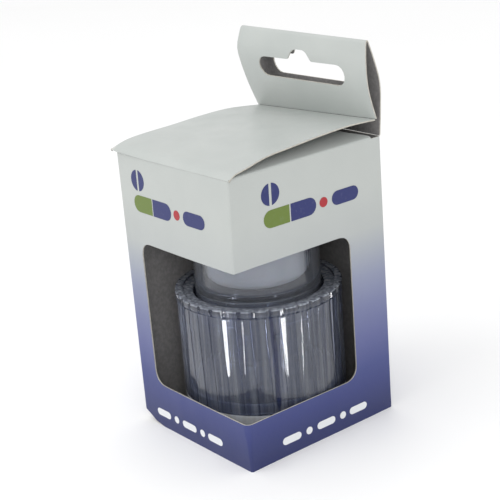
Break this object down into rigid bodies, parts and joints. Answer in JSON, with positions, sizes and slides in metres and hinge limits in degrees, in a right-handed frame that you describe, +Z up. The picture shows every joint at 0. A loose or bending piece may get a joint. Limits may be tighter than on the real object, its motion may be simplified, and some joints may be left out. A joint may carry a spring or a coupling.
{
  "type": "pill crusher in a windowed carton",
  "caption": "Screw-down pill crusher with a ribbed clear grip, toothed crushing cup and lidded pill store, standing in a windowed tuck-end carton with a hang tab.",
  "frame": {"origin": "centre of the carton's underside", "axes": "+Z up, -Y out of the carton's front panel, +X out of its right panel"},
  "size_m": [0.068, 0.072, 0.1489],
  "materials": {
    "printed_board": "semi-gloss printed board, pale grey fading to blue",
    "coated_board": "semi-gloss coated board, pale grey",
    "raw_board": "uncoated grey-brown back of the board",
    "clear_plastic": "clear moulded styrene, glossy",
    "white_plastic": "white moulded plastic, satin gloss"
  },
  "bodies": {
    "carton": {"carton_front_panel": "printed_board", "carton_right_panel": "printed_board", "carton_back_panel": "printed_board", "carton_left_panel": "printed_board", "carton_glue_flap": "raw_board", "carton_bottom_panel": "printed_board", "carton_bottom_tuck_flap": "raw_board", "carton_bottom_dust_flap_left": "raw_board", "carton_bottom_dust_flap_right": "raw_board"},
    "hang_tab": {"hang_tab_back_ply": "coated_board", "hang_tab_fold": "coated_board", "hang_tab_front_ply": "coated_board"},
    "lid": {"lid_panel": "coated_board", "lid_tuck_flap": "coated_board"},
    "dust_flap_left": {"top_dust_flap_left": "coated_board"},
    "dust_flap_right": {"top_dust_flap_right": "coated_board"},
    "crusher_base": {"grip_body": "clear_plastic", "base_cap": "clear_plastic", "crushing_cup": "clear_plastic"},
    "presser": {"pressing_foot": "white_plastic"},
    "screw_head": {"screw_top": "clear_plastic", "store_cup": "white_plastic"},
    "store_cover": {"store_lid": "white_plastic"}
  },
  "joints": [
    {"name": "lid_open", "type": "hinge", "parent": "hang_tab", "child": "lid", "pos_m": [0, 0.0341, 0.1174], "axis": [-1, 0, 0], "range_deg": [0, 56]},
    {"name": "tab_lean", "type": "hinge", "parent": "carton", "child": "hang_tab", "pos_m": [0, 0.0357, 0.1112], "axis": [-1, 0, 0], "range_deg": [0, 33.5]},
    {"name": "flap_right", "type": "hinge", "parent": "carton", "child": "dust_flap_right", "pos_m": [0.0335, 0, 0.1111], "axis": [0, 1, 0], "range_deg": [0, 76.5]},
    {"name": "flap_left", "type": "hinge", "parent": "carton", "child": "dust_flap_left", "pos_m": [-0.0335, 0, 0.1111], "axis": [0, -1, 0], "range_deg": [0, 76.5]},
    {"name": "crusher_lift", "type": "slide", "parent": "carton", "child": "crusher_base", "axis": [0, 0, 1], "range_m": [0, 0.003]},
    {"name": "screw_rise", "type": "slide", "parent": "crusher_base", "child": "presser", "axis": [0, 0, 1], "range_m": [-0.00501, 0.01001]},
    {"name": "knob_turn", "type": "hinge", "parent": "presser", "child": "screw_head", "pos_m": [0, 0, 0.03], "axis": [0, 0, 1], "range_deg": [-360, 720]},
    {"name": "store_lid_lift", "type": "slide", "parent": "screw_head", "child": "store_cover", "axis": [0, 0, 1], "range_m": [0, 0.008]}
  ],
  "couplings": [
    {"joint": "tab_lean", "follows": "lid_open", "ratio": 0.58929},
    {"joint": "flap_right", "follows": "lid_open", "ratio": 1.3571},
    {"joint": "flap_left", "follows": "lid_open", "ratio": 1.3571},
    {"joint": "screw_rise", "follows": "knob_turn", "m_per_rad": 0.00079577}
  ]
}
